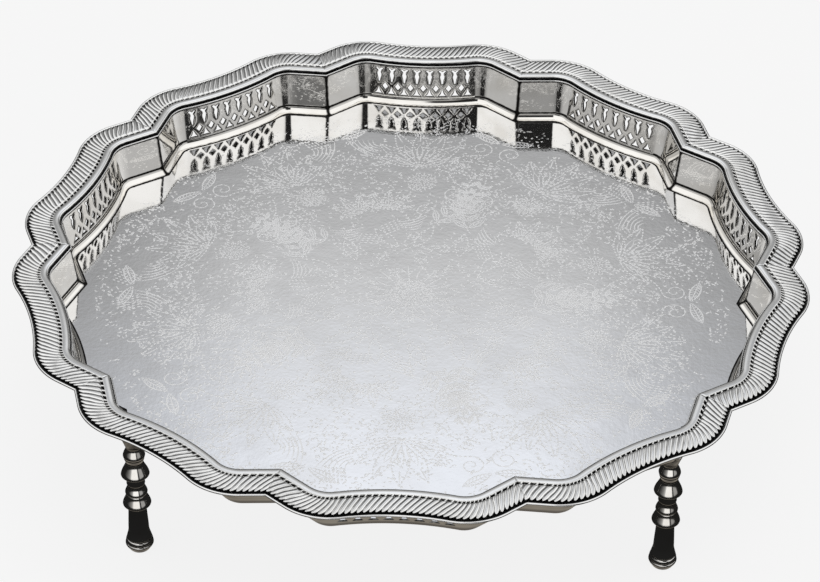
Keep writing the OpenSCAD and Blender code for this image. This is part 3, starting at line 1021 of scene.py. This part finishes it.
def make_camera():
    """Camera that looks down on the tray from the front, at the middle of the lip's plane."""
    distance, roll = 1.4196, 0.01086
    elevation, bearing = math.radians(37.216), math.radians(1.8154)
    aim = Vector((0, 0, 0.0924))
    back = Vector((math.sin(bearing) * math.cos(elevation),
                   -math.cos(bearing) * math.cos(elevation), math.sin(elevation)))
    data = bpy.data.cameras.new("camera")
    data.lens = 124.06
    data.sensor_width = 36.0
    data.shift_x = -0.0017
    data.shift_y = -0.0422
    data.clip_start, data.clip_end = 0.01, 50
    camera = bpy.data.objects.new("camera", data)
    bpy.context.scene.collection.objects.link(camera)
    turn = (-back).to_track_quat("-Z", "Y").to_matrix().to_4x4()
    stand = Matrix.Translation(aim + back * distance)
    camera.matrix_world = stand @ turn @ Matrix.Rotation(roll, 4, "Z")
    bpy.context.scene.camera = camera


def ramp(tree, value, stops):
    """A Color Ramp over value; stops are (place, grey) or (place, (r, g, b))."""
    node = add_node(tree, "ShaderNodeValToRGB")
    while len(node.color_ramp.elements) < len(stops):
        node.color_ramp.elements.new(0.5)
    for element, (where, colour) in zip(node.color_ramp.elements, stops):
        element.position = where
        element.color = (*colour, 1) if isinstance(colour, tuple) else (colour, colour, colour, 1)
    link(tree, value, node.inputs["Fac"])
    return node.outputs["Color"]


def round_the_studio(stops):
    """Ramp stops from (bearing in degrees, grey); bearing 0 is the camera's side, +90 the right."""
    return [((bearing + 180) / 360, grey) for bearing, grey in stops]


def studio_bands(tree, height, around):
    """The near studio in bands of elevation, each a ramp round the bearings: a dark table, lit
    panels at the horizon, screens with gaps, a bright ring with one gap, a white ceiling."""
    table_tone = ramp(tree, math_node(tree, "DIVIDE", height, -90), [
        (0.0, 0.015), (0.45, 0.012), (0.52, (0.08, 0.075, 0.065)), (0.62, (0.24, 0.22, 0.19)),
        (0.8, (0.12, 0.11, 0.10)), (1.0, (0.10, 0.09, 0.08))])
    horizon = ramp(tree, around, round_the_studio([
        (-180, 0.02), (-80, 0.02), (-60, 0.10), (-40, 0.25), (-28, 0.5), (-22, 1.0), (26, 1.0),
        (31, 0.015), (38, 0.015), (42, 0.35), (70, 0.35), (78, 0.03), (180, 0.02)]))
    screens = ramp(tree, around, round_the_studio([
        (-180, 0.40), (-165, 0.85), (-135, 0.75), (-112, 0.36), (-90, 0.50), (-54, 0.52),
        (-42, 0.36), (-33, 0.015), (-14, 0.015), (-8, 0.24), (12, 0.34), (18, 0.03), (44, 0.02),
        (51, 0.50), (75, 0.60), (100, 0.76), (122, 0.70), (135, 0.75), (165, 0.85), (180, 0.40)]))
    upper = ramp(tree, around, round_the_studio([
        (-180, 0.75), (-145, 0.95), (-75, 1.0), (-2, 1.0), (3, 0.015), (32, 0.015), (42, 0.9),
        (55, 1.0), (135, 1.0), (150, 0.9), (180, 0.75)]))
    colour = blend_colour(tree, smooth_range(tree, height, -8, -3), table_tone, horizon)
    colour = blend_colour(tree, smooth_range(tree, height, 13, 17), colour, screens)
    colour = blend_colour(tree, smooth_range(tree, height, 30, 38), colour, upper)
    return blend_colour(tree, smooth_range(tree, height, 58, 66), colour, (1.02, 1.02, 1.02))


def far_side(tree, parts, height, level):
    """The studio's far side: a ramp that rises evenly from grey to white with the elevation,
    and dims to 0.58 a little aside of its middle."""
    rise = ramp(tree, math_node(tree, "DIVIDE", height, 90), [
        (0.0, 0.02), (0.16, 0.12), (0.24, 0.22), (0.33, 0.33), (0.37, 0.37), (0.39, 0.42),
        (0.42, 0.63), (0.46, (0.90, 0.925, 0.98)), (0.50, (0.94, 0.96, 1.0)), (0.6, 1.0)])
    sideways = math_node(tree, "ADD", math_node(tree, "DIVIDE", parts["X"], level), 0.031)
    aside = math_node(tree, "ABSOLUTE", sideways)
    dimmed = add_node(tree, "ShaderNodeVectorMath", operation="SCALE")
    link(tree, rise, dimmed.inputs[0])
    link(tree, smooth_range(tree, aside, 0.05, 0.16, 1.0, 0.58), dimmed.inputs["Scale"])
    return dimmed.outputs["Vector"]


def make_world():
    """Even white light for the table. Gloss sees a studio: bands of elevation on the near
    side, and an even rise from grey to white on the far side above the horizon."""
    world = bpy.data.worlds.new("studio")
    bpy.context.scene.world = world
    world.use_nodes = True
    tree = world.node_tree
    tree.nodes.clear()
    place = add_node(tree, "ShaderNodeTexCoord")
    split = add_node(tree, "ShaderNodeSeparateXYZ")
    link(tree, place.outputs["Generated"], split.inputs[0])
    parts = split.outputs
    height = math_node(tree, "MULTIPLY", math_node(tree, "ARCSINE", parts["Z"]), 180 / math.pi)
    toward = math_node(tree, "MULTIPLY", parts["Y"], -1)
    bearing = math_node(tree, "ARCTAN2", parts["X"], toward)
    around = math_node(tree, "MULTIPLY_ADD", bearing, 1 / TAU, 0.5)
    level = math_node(tree, "SQRT", math_node(tree, "SUBTRACT", 1.0,
                                              math_node(tree, "POWER", parts["Z"], 2.0)))
    farness = smooth_range(tree, math_node(tree, "DIVIDE", parts["Y"], level), 0.88, 0.96)
    above = math_node(tree, "GREATER_THAN", height, 0.0)
    far_share = math_node(tree, "MULTIPLY", farness, above)
    gloss = blend_colour(tree, far_share, studio_bands(tree, height, around),
                         far_side(tree, parts, height, level))
    paths = add_node(tree, "ShaderNodeLightPath")
    colour = blend_colour(tree, paths.outputs["Is Glossy Ray"], (0.92, 0.92, 0.92), gloss)
    background = add_node(tree, "ShaderNodeBackground")
    output = add_node(tree, "ShaderNodeOutputWorld")
    link(tree, colour, background.inputs["Color"])
    background.inputs["Strength"].default_value = 1.0
    link(tree, background.outputs[0], output.inputs["Surface"])


def make_table():
    """Pale matt table top that takes a faint shadow; gloss rays pass it by."""
    half = 6.0
    corners = [(-half, -half, 0), (half, -half, 0), (half, half, 0), (-half, half, 0)]
    mesh = bpy.data.meshes.new("table")
    mesh.from_pydata(corners, [], [(0, 1, 2, 3)])
    material = bpy.data.materials.new("pale table")
    material.use_nodes = True
    tree = material.node_tree
    shader = tree.nodes["Principled BSDF"]
    shader.inputs["Base Color"].default_value = (0.06, 0.06, 0.06, 1)
    shader.inputs["Roughness"].default_value = 1.0
    shader.inputs["Specular IOR Level"].default_value = 0.0
    shader.inputs["Emission Color"].default_value = (1, 1, 1, 1)
    shader.inputs["Emission Strength"].default_value = 0.858
    mesh.materials.append(material)
    table = bpy.data.objects.new("table", mesh)
    bpy.context.scene.collection.objects.link(table)
    table.visible_glossy = False


def soft_light(name, place, aim, size, watts):
    """Rectangular area light at a place, turned to its aim; gloss rays pass it by."""
    data = bpy.data.lights.new(name, "AREA")
    data.shape = "RECTANGLE"
    data.size, data.size_y = size
    data.energy = watts
    light = bpy.data.objects.new(name, data)
    light.location = place
    light.rotation_euler = (Vector(aim) - Vector(place)).to_track_quat("-Z", "Y").to_euler()
    light.visible_glossy = False
    bpy.context.scene.collection.objects.link(light)


make_camera()
make_world()
make_table()
soft_light("overhead", (0.2, -0.3, 1.9), (0, 0, 0.06), (1.2, 0.9), 9)

scene = bpy.context.scene
scene.view_settings.view_transform = "Standard"
scene.cycles.glossy_bounces = 8
scene.cycles.max_bounces = 10
